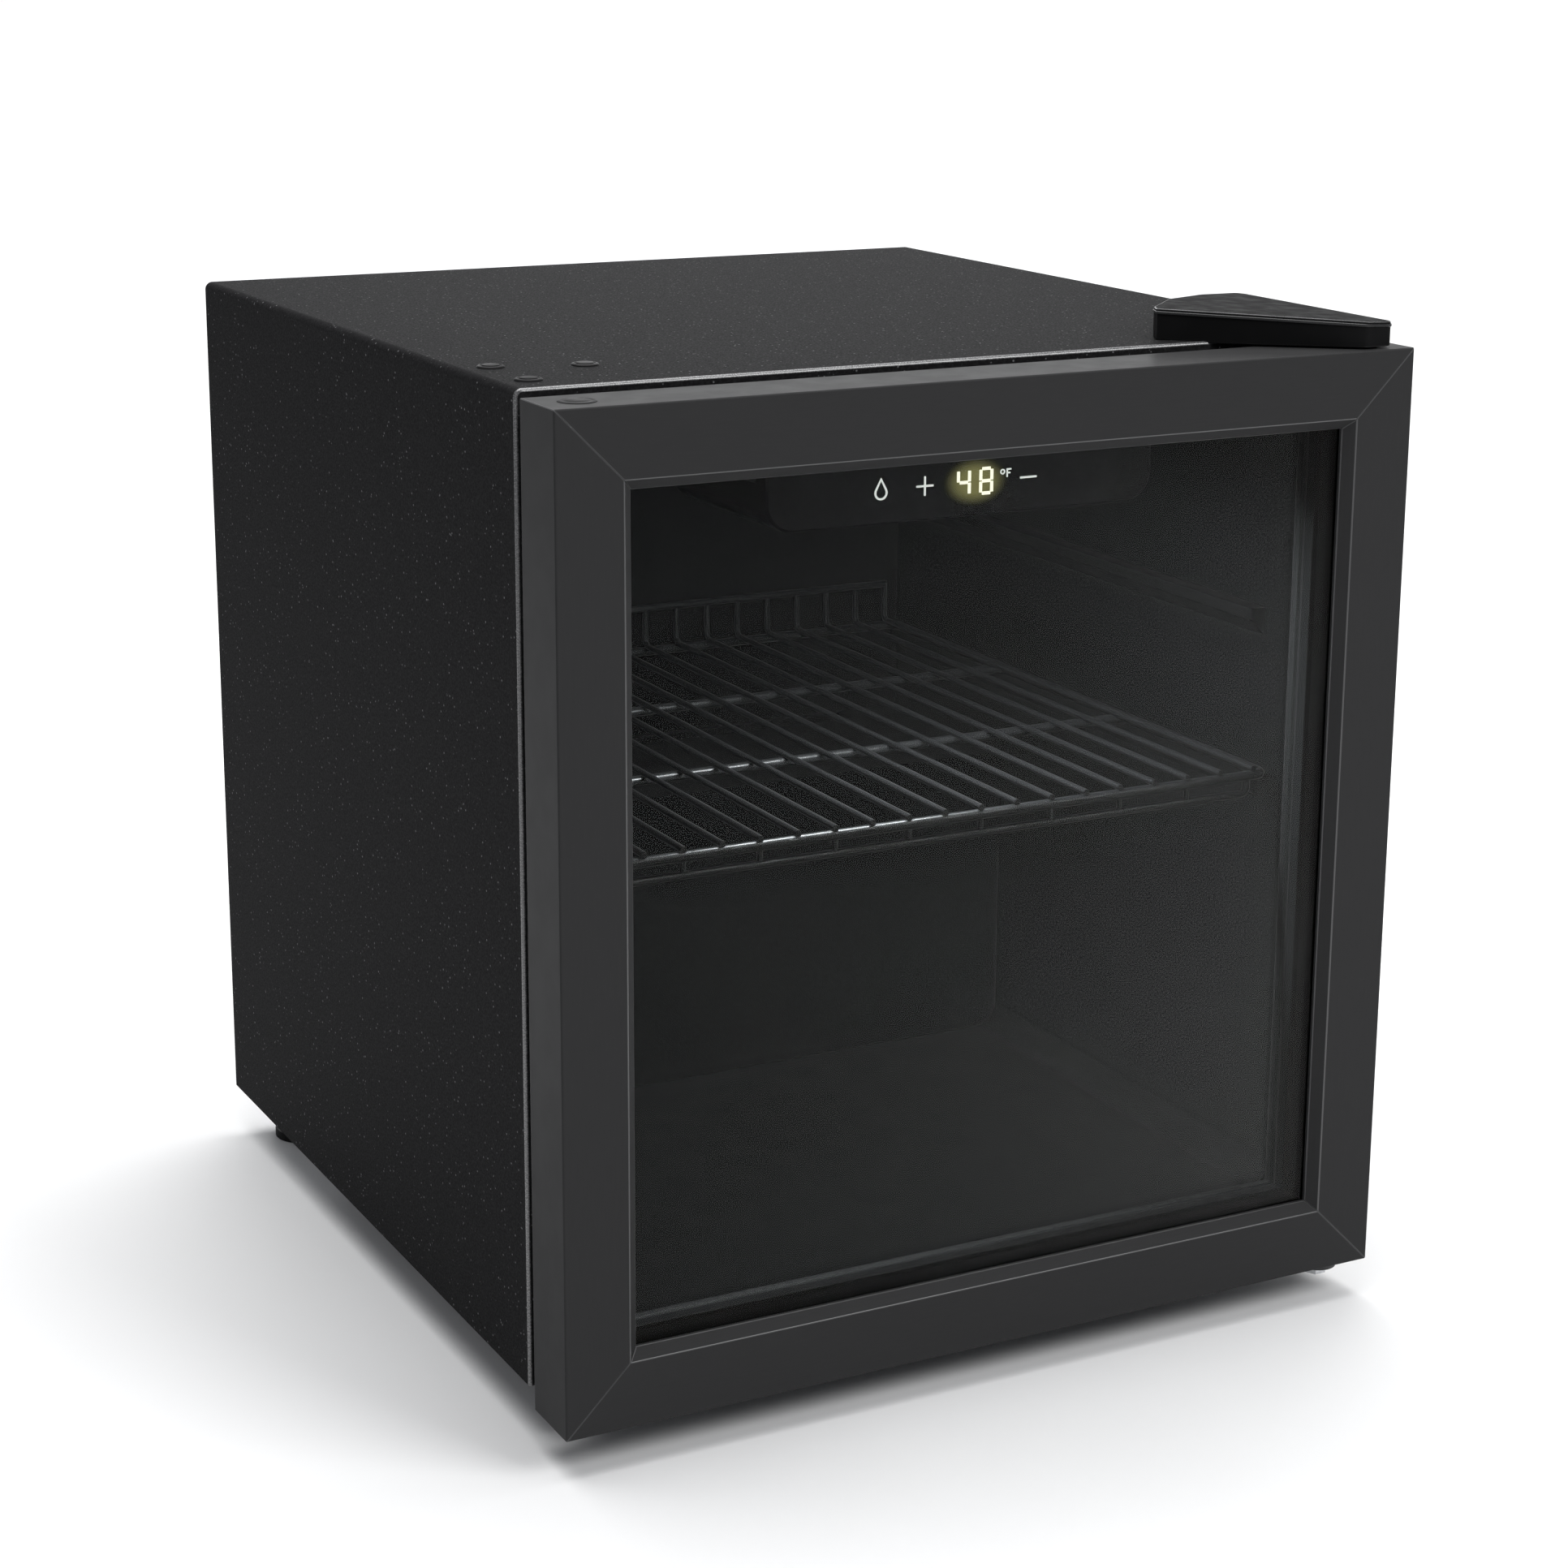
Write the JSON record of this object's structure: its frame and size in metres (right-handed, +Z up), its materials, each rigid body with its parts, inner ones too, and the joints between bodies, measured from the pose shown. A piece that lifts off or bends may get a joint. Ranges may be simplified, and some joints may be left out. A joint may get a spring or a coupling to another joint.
{
  "type": "glass-door beverage fridge",
  "caption": "Compact black beverage fridge with a framed glass door, wire shelf and lit control panel inside, and a compressor bay at the back.",
  "frame": {"origin": "on the floor, under the middle of the bounding box", "axes": "+Z up, -Y out of the door, +X towards the hinge side"},
  "size_m": [0.445, 0.48, 0.504],
  "materials": {
    "black_powder_coat": "fine-textured black powder coat with a faint sparkle",
    "dark_painted_steel": "satin black paint",
    "galvanised_steel": "dull zinc coat",
    "zinc_hardware": "bright zinc plate",
    "polyurethane_foam": "rigid foam, matt",
    "liner_plastic": "glossy black, vacuum formed",
    "black_plastic": "satin black moulded plastic",
    "panel_gloss": "piano-black touch panel",
    "symbol_ink": "white lit symbols",
    "circuit_board": "green lacquered board",
    "white_plastic": "white moulded plastic",
    "diffuser": "milky translucent",
    "frame_aluminium": "satin charcoal anodised",
    "spacer_aluminium": "dark anodised",
    "die_cast_key": "as cast",
    "clear_glass": "clear tempered pane",
    "gasket_rubber": "matt black soft PVC",
    "magnet": "dark flexible magnet strip",
    "rubber": "matt black",
    "copper": "drawn copper",
    "evaporator_metal": "mill finish",
    "compressor_paint": "semi-gloss black enamel",
    "cast_iron": "machined casting",
    "shelf_wire": "semi-gloss black PE coat",
    "cable_sheath": "black sheath"
  },
  "bodies": {
    "cabinet": {"outer_wrapper": "black_powder_coat", "back_panel": "dark_painted_steel", "back_panel_screws": "zinc_hardware", "base_panel": "dark_painted_steel", "bay_panel": "galvanised_steel", "compressor_tray": "galvanised_steel", "insulation_foam": "polyurethane_foam", "inner_liner": "liner_plastic", "hinge_backing_plates": "galvanised_steel", "evaporator_plate": "evaporator_metal", "evaporator_tube": "evaporator_metal", "condenser_tubes": "copper", "drain_tube": "white_plastic", "drip_tray": "black_plastic", "compressor_motor": "cast_iron", "compressor_lower_shell": "compressor_paint", "compressor_upper_shell": "compressor_paint", "compressor_grommets": "rubber", "compressor_bolts": "zinc_hardware", "relay_cover": "black_plastic", "filter_drier": "copper", "refrigerant_lines": "copper", "cord_gland": "black_plastic", "bay_wiring": "cable_sheath", "rear_feet": "black_plastic", "foot_nuts": "zinc_hardware", "upper_hinge_plate": "dark_painted_steel", "upper_hinge_pin": "zinc_hardware", "upper_hinge_screws": "zinc_hardware", "upper_hinge_cover": "black_plastic", "lower_hinge_bracket": "dark_painted_steel", "lower_hinge_pin": "zinc_hardware", "lower_hinge_screws": "zinc_hardware", "hinge_hole_plugs": "black_plastic", "control_housing": "black_plastic", "control_panel": "panel_gloss", "control_symbols": "symbol_ink", "control_board": "circuit_board", "led_strip": "white_plastic", "lamp_lens": "diffuser", "temperature_sensor": "white_plastic"},
    "door": {"door_top_rail": "frame_aluminium", "door_bottom_rail": "frame_aluminium", "door_left_stile": "frame_aluminium", "door_right_stile": "frame_aluminium", "door_corner_keys": "die_cast_key", "outer_glass": "clear_glass", "inner_glass": "clear_glass", "glass_spacer": "spacer_aluminium", "door_inner_frame": "black_plastic", "door_gasket": "gasket_rubber", "gasket_magnets": "magnet", "door_hinge_bushes": "white_plastic", "door_hole_plugs": "black_plastic"},
    "shelf": {"wire_shelf": "shelf_wire", "shelf_kerb": "shelf_wire"},
    "left_foot_screw": {"left_foot_stud": "zinc_hardware"},
    "left_foot": {"left_foot_pad": "black_plastic"},
    "right_foot_screw": {"right_foot_stud": "zinc_hardware"},
    "right_foot": {"right_foot_pad": "black_plastic"}
  },
  "joints": [
    {"name": "door_hinge", "type": "hinge", "parent": "cabinet", "child": "door", "pos_m": [0.204, -0.222, 0.25], "axis": [0, 0, 1], "range_deg": [0, 130]},
    {"name": "shelf_slide", "type": "slide", "parent": "cabinet", "child": "shelf", "axis": [0, -1, 0], "range_m": [0, 0.017]},
    {"name": "left_foot_level", "type": "slide", "parent": "cabinet", "child": "left_foot_screw", "axis": [0, 0, -1], "range_m": [0, 0.012]},
    {"name": "left_foot_turn", "type": "hinge", "parent": "left_foot_screw", "child": "left_foot", "pos_m": [-0.148, -0.15, 0], "axis": [0, 0, -1], "range_deg": [0, 3456]},
    {"name": "right_foot_level", "type": "slide", "parent": "cabinet", "child": "right_foot_screw", "axis": [0, 0, -1], "range_m": [0, 0.012]},
    {"name": "right_foot_turn", "type": "hinge", "parent": "right_foot_screw", "child": "right_foot", "pos_m": [0.148, -0.15, 0], "axis": [0, 0, -1], "range_deg": [0, 3456]}
  ],
  "couplings": [
    {"joint": "left_foot_turn", "follows": "left_foot_level", "rad_per_m": 5026.5},
    {"joint": "right_foot_turn", "follows": "right_foot_level", "rad_per_m": 5026.5}
  ]
}
